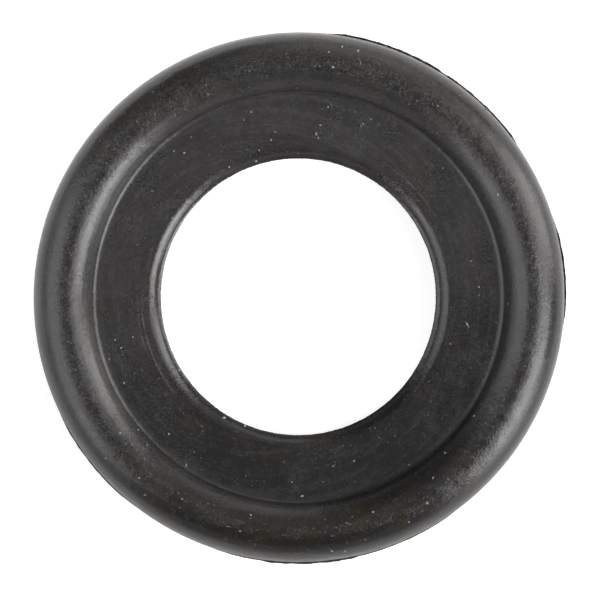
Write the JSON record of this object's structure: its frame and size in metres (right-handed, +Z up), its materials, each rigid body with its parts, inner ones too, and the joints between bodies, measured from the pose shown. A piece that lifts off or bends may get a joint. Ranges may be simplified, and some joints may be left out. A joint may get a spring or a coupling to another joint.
{
  "type": "drain plug washer",
  "caption": "Moulded rubber sealing ring with a round outer bead, a thinner flat land and a lipped bore, for under the flange of an oil drain plug.",
  "frame": {"origin": "on the axis of the bore, in the plane that the washer lies on", "axes": "+Z up along the axis of the bore, X and Y across the ring"},
  "size_m": [0.0242, 0.0242, 0.0028],
  "materials": {
    "rubber": "satin black moulded rubber with fine grain, pale dust and a bloom on the crest of the bead"
  },
  "bodies": {
    "root": {"washer": "rubber"}
  },
  "joints": []
}
